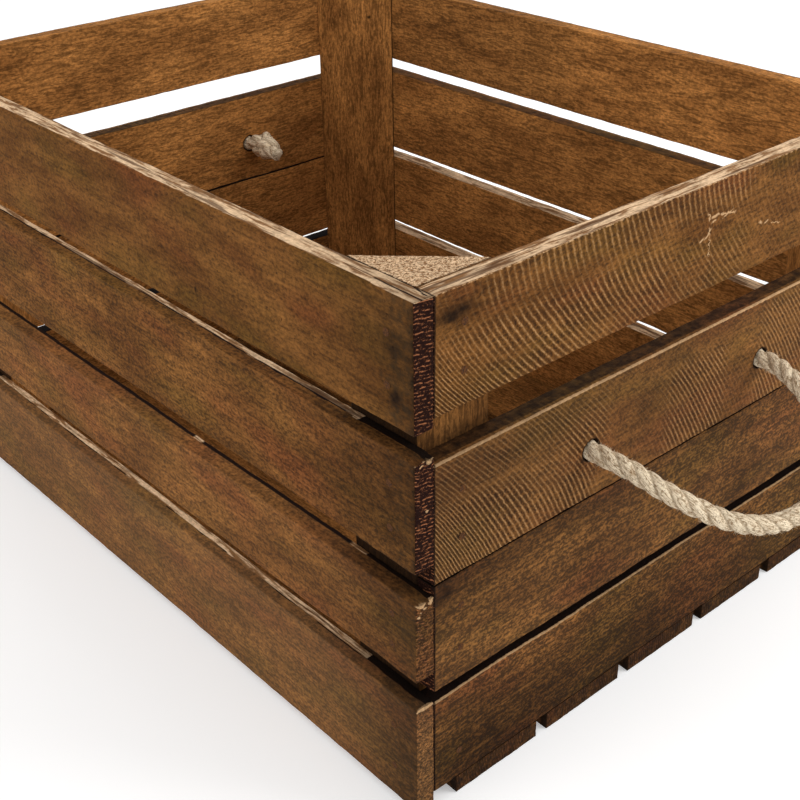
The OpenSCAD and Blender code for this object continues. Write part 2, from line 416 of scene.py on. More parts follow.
def stained_wood(name, scratch_lines=()):
    """Stained rough-sawn softwood. Attributes of the mesh say where its faces, arrises, saw
    marks, stains, worn places and painted light and shade are."""
    n = Nodes(bpy.data.materials.new(name))
    grain = n.attribute("grain")
    inside, end, rim = n.split(n.attribute("where"))
    wear, dark, cut = n.split(n.attribute("worn"))
    phase, sawn, crack = n.split(n.attribute("saw"))
    bright, redness, rim_tone = n.split(n.attribute("tint"))
    contrast, drab, faded = n.split(n.attribute("rough"))

    grit = n.noise(n.stretch(grain, 0.7), 2.6, 4, 0.68)
    blotch = n.noise(grain, 8, 3, 0.6)

    calm = n.times(contrast, n.add(1.0, n.times(sawn, -0.3)))
    outer = outer_face(n, grain, grit, calm)
    outer = n.mix(redness, outer, OUTER_RED)
    outer = n.mix(faded, outer, FADED)
    drab = n.add(drab, n.times(n.add(blotch, -0.5), 1.3))
    outer = n.mix(n.step(drab, 0.35, 0.95, 0, 0.75), outer, DRAB)
    outer, ripples = rippled(n, grain, blotch, outer, phase, sawn)

    inner, lines = inner_face(n, grain, grit)
    colour = n.mix(n.step(inside, 0.35, 0.75), outer, inner)
    ends, saw_lines = end_grain(n, grain, grit, outer, cut)
    colour = n.mix(n.step(end, 0.3, 0.7), colour, ends)
    colour = n.mix(n.step(rim, 0.3, 0.7), colour, rim_face(n, grain, grit, rim_tone))

    ragged = n.add(n.times(n.add(blotch, -0.5), 0.7), n.times(n.add(grit, -0.5), 0.7))
    worn = n.step(n.add(wear, ragged), 0.4, 0.6, 0, 0.85)
    colour = n.mix(worn, colour, n.brighten(WORN, n.step(grit, 0.3, 0.7, 0.7, 1.15)))
    if scratch_lines:
        scratched = n.times(scratches(n, grain, scratch_lines), n.step(inside, 0.3, 0.1))
        colour = n.mix(n.times(scratched, 0.85), colour, WORN)
    # Real stains and painted shade both darken towards this colour
    stain_and_shade = n.step(n.add(dark, n.times(ragged, 1.1)), 0.3, 0.85, 0, 0.92)
    colour = n.mix(stain_and_shade, colour, SOOT_AND_SHADE)
    colour = n.mix(n.step(crack, 0.35, 0.7), colour, CRACK)
    colour = n.brighten(colour, bright)

    height = n.add(n.times(grit, 0.9), n.times(ripples, 0.35), n.times(lines, inside, 1.2),
                   n.times(saw_lines, end, 0.3), n.times(crack, -1.5))
    return n.close(colour, n.step(grit, 0.3, 0.7, 0.75, 0.92), height, 0.5, 0.06)


def rope_fibre(name):
    """Pale plant fibre. An attribute gives the lay of the yarns, another the painted shade in the
    strands' creases.
    """
    n = Nodes(bpy.data.materials.new(name))
    lay = n.attribute("fibre")
    crease, shade, _ = n.split(n.attribute("crease"))
    hairs = n.noise(n.stretch(lay, 0.12, 6, 6), 1.0, 4, 0.7)
    knots = n.noise(n.stretch(lay, 0.35, 2.2, 2.2), 1.0, 2, 0.6)
    colour = n.mix(n.step(hairs, 0.32, 0.58), ROPE_DARK, ROPE_PALE)
    colour = n.mix(n.step(knots, 0.48, 0.36, 0, 0.7), colour, ROPE_KNOT)
    # Painted shade in the creases between the strands
    colour = n.mix(n.step(crease, 0.25, 0.95, 0, 0.6), colour, ROPE_CREASE_SHADE)
    specks = n.noise(n.stretch(lay, 0.8, 4.5, 4.5), 1.0, 2, 0.6)
    colour = n.mix(n.step(specks, 0.42, 0.3, 0, 0.8), colour, ROPE_SPECK)
    colour = n.brighten(colour, shade)
    height = n.add(hairs, n.times(knots, 0.8))
    return n.close(colour, n.step(hairs, 0.3, 0.7, 0.8, 0.95), height, 0.7, 0.12)


def nail_steel(name):
    """Nail heads under the same stain as the wood, with rust showing through."""
    n = Nodes(bpy.data.materials.new(name))
    place = n.node("TexCoord").outputs["Object"]
    rust = n.noise(place, 1.6 * MM, 4, 0.7)
    colour = n.mix(n.step(rust, 0.38, 0.62), STAINED_STEEL, RUST)
    return n.close(colour, n.step(rust, 0.3, 0.7, 0.6, 0.9), rust, 0.3, 0.12)


# ---- Boards and posts


def ease(t):
    return t * t * (3 - 2 * t)


def step(x, low, high):
    """A smooth step of x from low to high, which may be the smaller number."""
    return ease(np.clip((x - low) / (high - low), 0, 1))


def window(x, start, stop, outward, inward):
    """1 from start to stop, with soft edges that reach that far outward and inward."""
    return step(x, start - outward, start + inward) * step(x, stop + outward, stop - inward)


def near(distance, reach):
    """1 at no distance, falling off over the reach and a little beyond."""
    return np.exp(-(distance / reach) ** 2)


def oval(a, b, middle_a, middle_b, half_a, half_b):
    """How far from the middle of an oval, which is 1 on its outline."""
    return np.hypot((a - middle_a) / half_a, (b - middle_b) / half_b)


def lumps(x, y, seed):
    """Smooth noise from 0 to 1 at the points (x, y), with a new value at each whole number. A
    constant y gives one row of it."""
    side = 64
    table = np.random.default_rng(seed).random((side, side))
    x = np.asarray(x, float)
    y = np.asarray(y, float) + 0 * x
    column = np.floor(x).astype(int)
    row = np.floor(y).astype(int)
    share = ease(x - column)
    rise = ease(y - row)

    def level(row):
        here = table[column % side, row % side]
        after = table[(column + 1) % side, row % side]
        return here * (1 - share) + after * share

    return level(row) * (1 - rise) + level(row + 1) * rise


# Grid lines near an arris, as distances from it
EDGE_LINES = np.array([0, 0.4, 1.0, 1.8, 3.0, 5.0])
LEAST_STEP = 0.35


def grid_lines(length, spacing, fine_at=()):
    """Places of a board's grid lines: close at both ends, and where fine_at gives a middle, a
    half width and a spacing."""
    edge = EDGE_LINES[-1]
    count = max(2, round((length - 2 * edge) / spacing) + 1)
    lines = [EDGE_LINES, length - EDGE_LINES, np.linspace(edge, length - edge, count)]
    for middle, half, fine in fine_at:
        lines.append(np.arange(middle - half, middle + half + fine / 2, fine))
    lines = np.unique(np.clip(np.concatenate(lines), 0, length))
    keep = [0.0]
    for x in lines:
        if x - keep[-1] > LEAST_STEP and length - x > LEAST_STEP:
            keep.append(float(x))
    return np.array(keep + [length])


def box_grid(sizes):
    """The surface of a grid with those numbers of lines: the grid indices of its points, the
    points' numbers, and the quads of each side, outwards."""
    on = np.zeros(sizes, bool)
    on[[0, -1]] = True
    on[:, [0, -1]] = True
    on[:, :, [0, -1]] = True
    number = np.full(sizes, -1)
    number[on] = np.arange(on.sum())

    def quads(sheet):
        four = [sheet[:-1, :-1], sheet[1:, :-1], sheet[1:, 1:], sheet[:-1, 1:]]
        return np.stack(four, -1).reshape(-1, 4)

    sides = {
        "outer": quads(number[:, :, 0])[:, ::-1],
        "inner": quads(number[:, :, -1]),
        "start": quads(number[0])[:, ::-1],
        "stop": quads(number[-1]),
        "under": quads(number[:, 0]),
        "upper": quads(number[:, -1])[:, ::-1],
    }
    return np.argwhere(on), number, sides


def open_hole(sides, points, number, centre):
    """Cuts a rope hole: drops the quads inside it on both faces, draws the rims of the openings
    onto its circle, and returns the quads of the wall between them."""
    rims = []
    for side in ("outer", "inner"):
        quads = sides[side]
        middles = points[quads][:, :, :2].mean(1)
        inside = np.hypot(*(middles - centre).T) < HOLE_R
        sides[side] = quads[~inside]
        pairs = {(int(q[k]), int(q[(k + 1) % 4])) for q in quads[inside] for k in range(4)}
        rims.append([pair for pair in pairs if pair[::-1] not in pairs])
        for v in {v for pair in rims[-1] for v in pair}:
            way = points[v, :2] - centre
            points[v, :2] = centre + way * HOLE_R / np.hypot(*way)
    twin = dict(zip(number[:, :, 0].ravel().tolist(), number[:, :, -1].ravel().tolist()))
    return [(a, b, twin[b], twin[a]) for a, b in sorted(rims[0])]


# How each wall's boards lie: the frame axes along, across and through a board, and on which
# side of the last axis its outer face is
WALLS = {
    "front": (0, 2, 1, -1),
    "right": (1, 2, 0, 1),
    "left": (1, 2, 0, -1),
    "back": (0, 2, 1, 1),
    "base": (0, 1, 2, -1),
}

# Where part.scad puts the nails: from the ends of the boards, and as shares of their height
NAIL_INSETS = {"front": 26, "back": 26, "right": 26.8, "left": 26.8, "base": 8.75}
NAIL_SHARES = (0.3, 0.7)
LOW_END_NAIL = 26.8
NAIL_SET = 0.5
NAIL_HEAD_R = 3.4
NAIL_DARK = 0.35

# How far the arrises are usually rounded, and how deep the saw marks are
ARRIS_R = 0.8
SAW_DEPTH = 0.45


def nail_places(wall, number, length, height):
    """Where a board's nails are, as (along, across) on its outer face."""
    heights = [share * height for share in NAIL_SHARES]
    if wall in HOLE_Z and number == 4:
        heights[0] = LOW_END_NAIL
    inset = NAIL_INSETS[wall]
    return [(a, b) for a in (inset, length - inset) for b in heights]


class Grid(SimpleNamespace):
    """A board before it is worn: its look, its nails and holes, and the points and faces of its
    surface. There, a runs along the board, b across it and c through it from the outer face."""

    def __init__(self, look, size, nails, holes):
        super().__init__(**vars(look), size=size, nails=nails, holes=holes)
        self.length, self.height, self.thick = size
        fine_a, fine_b = self.fine_lines()
        along = grid_lines(self.length, self.step[0], fine_a)
        across = grid_lines(self.height, self.step[1], fine_b)
        through = grid_lines(self.thick, 1.2)
        index, number, sides = box_grid((len(along), len(across), len(through)))
        flat = np.column_stack([along[index[:, 0]], across[index[:, 1]], through[index[:, 2]]])
        walls = [quad for hole in holes for quad in open_hole(sides, flat, number, np.array(hole))]
        faces = np.concatenate([*sides.values(), np.array(walls, int).reshape(-1, 4)])
        used, faces = np.unique(faces, return_inverse=True)
        self.flat, self.faces = flat[used], faces.reshape(-1, 4)
        self.a, self.b, self.c = self.flat.T
        self.drop = self.height - self.b
        self.to_end = np.minimum(self.a, self.length - self.a)
        self.on_top = self.b == self.height
        self.on_end = ((self.a == 0) | (self.a == self.length)).astype(float)

    def fine_lines(self):
        """Where the grid is finer: at nails, holes, the posts' edges, small stains and knots."""
        fine_a = [(a, 9, 1.5) for a, _ in self.nails[::2]] + [(a, 11, 1.5) for a, _ in self.holes]
        fine_b = [(b, 7, 1.8) for _, b in self.nails[:2]] + [(b, 10, 1.8) for _, b in self.holes[:1]]
        if self.rim_ends:
            fine_a += [(POST_LEG, 4, 1.0), (self.length - POST_LEG, 4, 1.0)]
        for sa, sb, ra, rb, *_ in (*self.stains, *self.knots):
            for fine, middle, half, usual in ((fine_a, sa, ra, self.step[0]),
                                              (fine_b, sb, rb, self.step[1])):
                if half / 5 < usual:
                    fine.append((middle, 1.6 * half, max(1.2, half / 5)))
        return fine_a, fine_b


def saw_marks(g):
    """The marks of the saw on a board: their phase in turns, and their strength from 0 to 1."""
    near_end, beyond, change, lean, bend = g.saw
    margin = 300
    places = np.linspace(-margin, g.length + margin, 2400)
    spacing = near_end + (beyond - near_end) * step(places, change - 20, change + 20)
    turns = np.cumsum(1 / spacing) * (places[1] - places[0])
    shifted = g.a - lean * g.drop - bend * g.drop * g.drop / g.height
    phase = np.interp(shifted, places, turns) + 0.7 * lumps(shifted / 42, g.b / 30, g.seed + 11)
    patchy = step(lumps(g.a / 38, g.b / 20, g.seed + 12), 0.15, 0.5)
    strength = g.sawn * (0.35 + 0.65 * patchy)
    for a0, a1, b0, b1, amount in g.sawn_at:
        inside = window(g.a, a0, a1, 12, 12) * window(g.b, b0, b1, 12, 12)
        strength = np.maximum(strength, amount * inside * (0.6 + 0.4 * patchy))
    return phase, strength


def arris_radius(g):
    """How far each arris is rounded off or chipped along its board."""
    row = 7 * (g.b > g.height / 2) + 13 * (g.c > g.thick / 2)
    radius = ARRIS_R * (0.4 + 1.2 * lumps(g.a / 9, row, g.seed))
    upper_outer = (g.c < g.thick / 2) & (g.b > g.height / 2)
    for start, stop, depth in g.chips:
        span = window(g.a, start, stop, 0, 6)
        radius = radius + upper_outer * span * depth * (0.55 + 0.7 * lumps(g.a / 6, 0, g.seed + 5))
    return np.clip(radius, 0.2, 6)


def over_posts(g):
    """1 near a board's ends, where a post stands behind it."""
    return step(g.to_end, POST_LEG + 1, POST_LEG - 1.5)


def rim_marks(g, radius):
    """A board's upper edge, from its outer face inwards: how pale it is (from wear, and in the gaps
    from painted light), its cracks, and where it doesn't look like the face."""
    face_to, tone, start, stop = g.rim
    ragged = 1.2 * (lumps(g.a / 13, 3, g.seed + 21) - 0.5)
    swell = g.rim_swell * step(lumps(g.a / 24, 5, g.seed + 22), 0.62, 0.85)
    shift = 0.5 * ragged - swell / 3
    pale = tone * step(g.c, start - 0.5 + shift, start + 0.6 + shift)
    shift = 0.5 * ragged + swell
    pale = pale * step(g.c, stop + 0.8 + shift, stop - 0.8 + shift)
    for middle, half in g.rim_chips:
        pale = np.maximum(pale, 1.1 * near(g.a - middle, half) * step(g.c, face_to - 3, face_to))
    # Over the posts the upper edge is painted in shade, black
    if g.rim_ends:
        pale = pale - 2 * over_posts(g)
    crack = np.zeros(len(g.a))
    for a0, a1, c0, c1 in g.cracks:
        middle = c0 + (c1 - c0) * np.clip((g.a - a0) / (a1 - a0), 0, 1)
        crack = np.maximum(crack, near(g.c - middle, 0.9) * window(g.a, a0, a1, 2, 0))
    edge = np.maximum(0.5 * radius + 0.4, face_to + ragged)
    shows = step(g.c, edge - 0.4, edge + 0.4)
    return pale, crack, g.on_top * shows * (not g.rim_like_inside)


def knot_rings(g):
    """The rings of each knot of a board, as (strength, ring from 0 to 1, place from 0 to 1)."""
    for *where, rings, amount in g.knots:
        away = oval(g.a, g.b, *where)
        turn = rings * away + 0.5 * lumps(g.a / 9, g.b / 9, g.seed + 41)
        yield amount, 0.5 + 0.5 * np.cos(TURN * turn), near(away, 0.9)


def pale_wear(g):
    """How pale a board is worn along its arrises, at its corners and where it is chipped."""
    top_wear, low_wear, end_wear = g.wear
    corner = np.hypot(g.to_end, g.drop) + 3 * lumps(g.c / 2.5, g.a / 2.5, g.seed + 31)
    worn = [top_wear * near(np.hypot(g.drop, g.c), g.wear_width),
            low_wear * near(np.hypot(g.b, g.c), 1.3),
            end_wear * near(np.hypot(g.to_end, g.c), 1.3),
            g.corner_wear * near(corner, 4.5)]
    for *where, amount in g.end_chips:
        worn.append(amount * near(oval(g.c, g.drop, *where), 1) * near(g.length - g.a, 2.5))
    for amount, ring, place in knot_rings(g):
        worn.append(0.4 * amount * (1 - ring) * place)
    return np.max(worn, axis=0)


def dark_marks(g, on_rim):
    """How dark a board is at its ends, nails, holes, stains, knots and joints, and where shade is
    painted: on its upper edge over the posts, deeper inside the gaps and along one arris of the
    crate's rim.
    """
    dark = [g.end_dark * np.exp(-g.to_end / 9)]
    if g.joint:
        dark.append(near(g.to_end, 1.7))
    for na, nb in g.nails:
        off_head = np.abs(np.hypot(g.a - na, g.b - nb) - NAIL_HEAD_R)
        dark.append(NAIL_DARK * near(off_head, 1.5))
    for ha, hb in g.holes:
        dark.append(0.9 * near(np.hypot(g.a - ha, g.b - hb) - HOLE_R, 1.6))
    for *where, amount in g.stains:
        dark.append(amount * near(oval(g.a, g.b, *where), 1))
    for amount, ring, place in knot_rings(g):
        dark.append(amount * ring * place)
    # Painted shade on the upper edge over the posts
    if g.rim_ends:
        dark.append(on_rim * over_posts(g) * step(g.to_end, 2, 5))
    # Then painted shade on the upper edge, deeper in a gap
    dark = [np.max(dark, axis=0) * (1 - 0.6 * g.on_end),
            g.rim_soot * g.on_top * step(g.c, 2.5, 4.5)]
    # A painted shade line along one arris of the rim's upper edge
    if g.open_rim:
        joint = g.c if g.rim_like_inside else g.thick - g.c
        dark.append(g.on_top * near(joint, 0.9))
    return np.max(dark, axis=0)


def brightness(g, inward):
    """A board's own brightness, with painted light along its inner face and painted light and shade at
    its shades.
    """
    start, stop, before, beyond = g.lit
    inner = before - 1 + (beyond - before) * step(g.a, start, stop)
    bright = g.bright * (1 + inward * inner)
    for *where, factor in g.shades:
        spot = near(oval(g.a, g.b, *where), 1) * (1 - 0.8 * g.on_end)
        bright = bright * (1 - (1 - factor) * spot)
    return bright


def board_attributes(g, saw, radius):
    """What the material reads at each point of a board."""
    phase, sawn = saw
    pale, crack, on_rim = rim_marks(g, radius)
    inward = np.where(g.on_top & (g.c <= g.rim[0]), 0, g.c / g.thick)
    if g.rim_like_inside:
        inward = np.where(g.on_top, step(g.c, 0, 3), inward)
    drab = g.drab * np.maximum(step(g.length - g.a, 62, 10), 0.6 * step(g.a, 62, 10))
    offset = np.array([317 * (g.seed % 7), 211 * (g.seed % 5), 0])
    dark = dark_marks(g, on_rim)
    return {
        "grain": (g.flat + offset * g.shift_grain).T,
        "where": (inward, g.on_end, on_rim),
        "rough": (g.contrast, drab, g.faded),
        "worn": (pale_wear(g), dark, g.end_like_face),
        "saw": (phase, sawn * (1 - g.c / g.thick), crack * on_rim),
        "tint": (brightness(g, inward), g.red, pale),
    }


def worn_points(g, saw, radius):
    """A board's points after wear: rounded and chipped arrises, long edges that aren't quite
    straight, rough ends, and uneven faces with saw marks."""
    half = g.size / 2
    centred = g.flat - half
    core = np.clip(centred, -(half - radius[:, None]), half - radius[:, None])
    off = centred - core
    reach = np.linalg.norm(off, axis=1)
    share = np.where(reach > radius, radius / np.maximum(reach, 1e-9), 1.0)
    points = core + off * share[:, None] + half

    def sway(row):
        long_waves = 0.75 * lumps(g.a / 70, row, g.seed + 1) ** 2
        return g.wave * (long_waves + 0.35 * lumps(g.a / 11, row, g.seed + 2) ** 3)

    points[:, 1] += sway(3) * (1 - g.b / g.height) - sway(9) * g.b / g.height
    points[:, 0] += 0.35 * lumps(g.b / 2.2, g.c / 3, g.seed + 3) * (1 - 2 * g.a / g.length)
    broken = g.broken * lumps(g.c / 3.5, g.a / 4, g.seed + 8) * near(g.length - g.a, 6)
    points[:, 1] -= broken * step(g.b, g.height - 14, g.height)

    phase, sawn = saw
    outer_in = (0.05 + 0.35 * lumps(g.a / 75, g.b / 38, g.seed + 4)
                + 0.16 * lumps(g.a / 26, g.b / 2.6, g.seed + 6)
                + SAW_DEPTH * sawn * (0.5 - 0.5 * np.sin(TURN * phase)))
    to_nail = np.min([np.hypot(g.a - na, g.b - nb) for na, nb in g.nails], axis=0)
    dimple = step(to_nail, 9, 4.2)
    outer_in = outer_in * (1 - dimple) + NAIL_SET * dimple
    inner_in = 0.35 * lumps(g.a / 34, g.b / 3.2, g.seed + 7)
    points[:, 2] += outer_in * (1 - g.c / g.thick) - inner_in * g.c / g.thick
    return points


def board(name, look):
    """One sawn board in place of its CAD node."""
    wall, number = name.split("_")[0], int(name[-1])
    lo, hi = (np.array(corner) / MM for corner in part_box(name))
    ia, ib, ic, outward = WALLS[wall]
    size = np.array([hi[i] - lo[i] for i in (ia, ib, ic)])
    look = like(look, seed=10 * list(WALLS).index(wall) + number)
    nails = nail_places(wall, number, size[0], size[1])
    holes = []
    if wall in HOLE_Z and number == 2:
        holes = [(side * HOLE_ACROSS - lo[1], HOLE_Z[wall] - lo[2]) for side in (-1, 1)]
    g = Grid(look, size, nails, holes)
    radius = arris_radius(g)
    saw = saw_marks(g)
    points = worn_points(g, saw, radius)
    attributes = board_attributes(g, saw, radius)

    placed = np.empty_like(points)
    placed[:, ia] = lo[ia] + points[:, 0]
    placed[:, ib] = lo[ib] + points[:, 1]
    placed[:, ic] = lo[ic] + points[:, 2] if outward < 0 else hi[ic] - points[:, 2]
    axes = np.zeros((3, 3))
    axes[0, ia] = axes[1, ib] = 1
    axes[2, ic] = -outward
    faces = g.faces if np.linalg.det(axes) > 0 else g.faces[:, ::-1]
    return mesh_object(name + "_sawn", placed, faces.tolist(), attributes)


def rounded_outline(corners, radius, spacing):
    """Points round a polygon with rounded corners, no further apart than spacing."""
    corners = np.array(corners, float)

    def towards(here, other):
        return here + radius * (other - here) / np.linalg.norm(other - here)

    points = []
    for k, here in enumerate(corners):
        after = corners[(k + 1) % len(corners)]
        enter = towards(here, corners[k - 1])
        leave = towards(here, after)
        for t in np.linspace(0, 1, 5):
            points.append((1 - t) ** 2 * enter + 2 * t * (1 - t) * here + t * t * leave)
        next_enter = towards(after, here)
        count = max(2, int(np.linalg.norm(next_enter - leave) / spacing))
        for t in np.linspace(0, 1, count + 1)[1:-1]:
            points.append(leave + t * (next_enter - leave))
    return np.array(points)


# Shares of its outline to which a post's top draws in
TOP_SHARES = (0.94, 0.88, 0.78, 0.66, 0.52, 0.38, 0.24, 0.1)
POST_LEVELS = 105


def post(name, seed, bright, knots):
    """One three-cornered post in place of its CAD node. Knots are given as the distance from
    the top, the place across and the size."""
    lo, hi = (np.array(corner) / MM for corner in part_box(name))
    leg_x, leg_y, height = hi - lo
    sign = np.sign(lo + hi)[:2]
    corner = np.where(sign > 0, hi[:2], lo[:2])
    outline = rounded_outline([(0, 0), (leg_x, 0), (0, leg_y)], radius=2.0, spacing=3.0)
    centre = np.array([leg_x, leg_y]) / 3
    side_levels = [(0.97, 0), (1, 0.8)] + [(1, z) for z in np.linspace(4, height - 2, POST_LEVELS)]
    top_levels = [(0.998, height - 0.8), (0.99, height - 0.25), (0.975, height)]
    levels = side_levels + top_levels + [(share, height) for share in TOP_SHARES]
    count = len(outline)
    flat = np.concatenate([centre + (outline - centre) * share for share, _ in levels])
    x, y = flat.T
    up = np.repeat([z for _, z in levels], count)
    on_top = np.arange(len(flat)) >= (len(side_levels) + 1) * count

    # Only the slanting face is uneven: the others lie against the boards
    way = np.array([leg_y, leg_x]) / math.hypot(leg_x, leg_y)
    to_slant = leg_x * leg_y / math.hypot(leg_x, leg_y) - flat @ way
    rough = 0.35 * lumps(up / 60, x / 14, seed) + 0.4 * lumps(up / 30, x / 2.4, seed + 1)
    moved = flat - (step(to_slant, 1.5, 0.2) * rough)[:, None] * way
    top_rough = on_top * 0.4 * lumps(x / 4, y / 4, seed + 2)
    placed = np.column_stack([corner - sign * moved, lo[2] + up - top_rough])
    faces = tube_faces(len(levels), count)
    if sign.prod() < 0:
        faces = [face[::-1] for face in faces]

    # Dark joints with the boards on top; painted shade, black, on the face against the long wall, and
    # darker painted shade on the edge against the end wall below the walls' first gap
    on_side = 1 - on_top
    dark = [0.8 * on_top * near(np.minimum(x, y), 0.9),
            1.4 * on_side * step(y, 1.5, 0.3),
            0.6 * on_side * step(height - up, 92, 124) * step(x, 1.5, 0.3)]
    for from_top, across, size in knots:
        dark.append(near(np.hypot(height - up - from_top, x - across), size))
    finer = np.where(on_top, 2.4, 1.0)
    attributes = {
        "grain": (up + 400 * seed, finer * x + 90 * seed, finer * y),
        "where": (1, 0, on_top),
        "rough": (1, 0, 0),
        "worn": (0, np.max(dark, axis=0), 0),
        "saw": (0, 0, 0),
        "tint": (np.where(on_top, 1.08, bright), 0, 1.2),
    }
    return mesh_object(name + "_sawn", placed, faces, attributes)


# ---- Ropes

# The rope loops' route of part.scad, as (out of the board, across, up from the hole), from the
# board's inner face to the loop's middle. The other half mirrors it.
ROPE_ROUTE = (
    (-17.5, 107, 0), (0, 107, 0), (12, 107, 0), (36, 102, -4), (58, 95, -12),
    (80, 83, -22), (99, 67, -32), (112, 44, -40), (118, 15, -45),
)
ROPE_SEEDS = {"right": 5, "left": 8}
LOOP_STEP = 1.1
KNOT_STEP = 1.5

# The rope's three strands, whose outlines meet at CREASE degrees round each strand
STRANDS = 3
STRAND_R = 4.95
STRAND_OFF = 3.0
CREASE = 91.7
POINTS_IN_STRAND = 18
LAY = 42
YARNS = 8
YARN_LAY = 38

# Grooves between the strands: what is inside GROOVE_FROM keeps that share of its depth, and
# painted shade darkens the material from CREASE_FROM inwards
GROOVE_FROM = 7.95
GROOVE = 0.72
CREASE_FROM = 7.7
CREASE_DEPTH = 2.2

# Loose fibres: how many, how far they stand off, and on which share of the rope. More of them
# stand off where the loop bends out of its holes.
LOOP_FIBRES = ((1700, 3.0, (0.05, 0.95)), (60, 4.5, (0.055, 0.08)), (60, 4.5, (0.92, 0.945)))
KNOT_FIBRES = (200, 2.6, (0.05, 0.95))
FIBRE_ROOT = 6.4
FIBRE_R = (0.17, 0.12)
FIBRE_TURNS = (0, 2.1, 4.2)


def smooth_line(points, spacing):
    """Points at that spacing on a smooth curve through the given ones, and how far along it
    each of them is."""
    points = np.array(points, float)
    padded = np.vstack([2 * points[0] - points[1], points, 2 * points[-1] - points[-2]])
    dense = []
    for k in range(1, len(padded) - 2):
        p0, p1, p2, p3 = padded[k - 1:k + 3]
        d01, d12, d23 = (np.linalg.norm(way) ** 0.5 for way in (p1 - p0, p2 - p1, p3 - p2))
        m1 = (p2 - p1) + d12 * ((p1 - p0) / d01 - (p2 - p0) / (d01 + d12))
        m2 = (p2 - p1) + d12 * ((p3 - p2) / d23 - (p3 - p1) / (d12 + d23))
        t = np.linspace(0, 1, 40, endpoint=False)[:, None]
        dense.append((2 * t**3 - 3 * t**2 + 1) * p1 + (t**3 - 2 * t**2 + t) * m1
                     + (3 * t**2 - 2 * t**3) * p2 + (t**3 - t**2) * m2)
    dense = np.vstack(dense + [points[-1:]])
    run = np.concatenate([[0], np.cumsum(np.linalg.norm(np.diff(dense, axis=0), axis=1))])
    even = np.linspace(0, run[-1], round(run[-1] / spacing) + 1)
    return np.column_stack([np.interp(even, run, dense[:, k]) for k in range(3)]), even


def frames_along(line):
    """The direction of a line at each point, and two more square to it, which turn as little as
    they can."""
    ways = np.gradient(line, axis=0)
    ways /= np.linalg.norm(ways, axis=1)[:, None]
    side = np.cross(ways[0], (0, 0, 1.0))
    sides = [side / np.linalg.norm(side)]
    for way in ways[1:]:
        side = sides[-1] - way * (sides[-1] @ way)
        sides.append(side / np.linalg.norm(side))
    sides = np.array(sides)
    return ways, sides, np.cross(ways, sides)


def rope_surface(line, run, seed):
    """A laid rope along a line: its points, its faces and what its material reads."""
    _, sides, ups = frames_along(line)
    psi = np.radians(CREASE) * ((np.arange(POINTS_IN_STRAND) + 0.5) * 2 / POINTS_IN_STRAND - 1)
    psi = np.tile(psi, STRANDS)
    strand = np.repeat(np.arange(STRANDS), POINTS_IN_STRAND)
    shape = (len(run), len(psi))
    s = np.broadcast_to(run[:, None], shape)
    which = np.broadcast_to(strand, shape)
    yarn = psi + TURN * s / YARN_LAY
    stitch = lumps(s / 4.5 + 9 * which, yarn * YARNS / TURN, seed)
    ridge = 0.42 * (0.5 + 0.5 * np.cos(YARNS * yarn)) * (0.4 + stitch) - 0.45
    swell = 0.5 * lumps(s / 13, 5 * which, seed + 3) - 0.3
    r = STRAND_R + ridge + swell
    x = STRAND_OFF + r * np.cos(psi)
    y = r * np.sin(psi)
    radial = GROOVE_FROM - (GROOVE_FROM - np.hypot(x, y)) * GROOVE
    angle = np.arctan2(y, x) + TURN * (strand / STRANDS + s / LAY)
    points = (line[:, None] + (radial * np.cos(angle))[..., None] * sides[:, None]
              + (radial * np.sin(angle))[..., None] * ups[:, None])
    crease = np.clip((CREASE_FROM - radial) / CREASE_DEPTH, 0, 1)
    shade = 0.9 + 0.2 * lumps(s / 30, 3 * which, seed + 1)
    fibre = np.stack([s + 170 * seed, np.cos(yarn) + 3 * which, np.sin(yarn)], -1)
    crease = np.stack([crease, shade, 0 * shade], -1)
    faces = tube_faces(*shape)
    return points.reshape(-1, 3), faces, fibre.reshape(-1, 3), crease.reshape(-1, 3)


def loose_fibres(line, seed, count, reach, span):
    """Short fibres that stand off a rope, each a thin three-sided spike."""
    rng = np.random.default_rng(seed)
    ways, sides, ups = frames_along(line)
    points, faces = [], []
    for _ in range(count):
        k = rng.integers(int(span[0] * len(line)), int(span[1] * len(line)))
        angle = rng.uniform(0, TURN)
        out = math.cos(angle) * sides[k] + math.sin(angle) * ups[k]
        around = np.cross(ways[k], out)
        lean = ways[k] * rng.uniform(-1, 1) + around * rng.uniform(-0.8, 0.8)
        root = line[k] + out * FIBRE_ROOT
        tip = root + out * rng.uniform(1.6, reach) + lean * rng.uniform(1.0, 4.5)
        middle = (root + tip) / 2 + lean * rng.uniform(-0.6, 0.6)
        base = len(points)
        for place, radius in zip((root, middle), FIBRE_R):
            for turn in FIBRE_TURNS:
                points.append(place + radius * (math.cos(turn) * ways[k] + math.sin(turn) * around))
        points.append(tip)
        for j in range(3):
            m = (j + 1) % 3
            faces.append([base + j, base + m, base + 3 + m, base + 3 + j])
            faces.append([base + 3 + j, base + 3 + m, base + 6])
        faces.append([base + 2, base + 1, base])
    fibre = np.tile([0.5, 0.0, 0.0], (len(points), 1))
    crease = np.tile([0.1, 0.95, 0.0], (len(points), 1))
    return np.array(points), faces, fibre, crease


def rope_object(name, surfaces, material):
    """One mesh object from several surfaces."""
    points, own_faces, fibre, crease = zip(*surfaces)
    starts = np.cumsum([0, *map(len, points)]).tolist()
    faces = [[start + v for v in face] for start, own in zip(starts, own_faces) for face in own]
    attributes = {"fibre": np.vstack(fibre).T, "crease": np.vstack(crease).T}
    made = mesh_object(name, np.vstack(points), faces, attributes)
    made.data.materials.append(material)
    return made


def at_end(side, route):
    """Points (out of the board, across, up from the hole) of one end, in the frame."""
    sign = 1 if side == "right" else -1
    return [(sign * (END_X + out), sign * across, HOLE_Z[side] + up) for out, across, up in route]


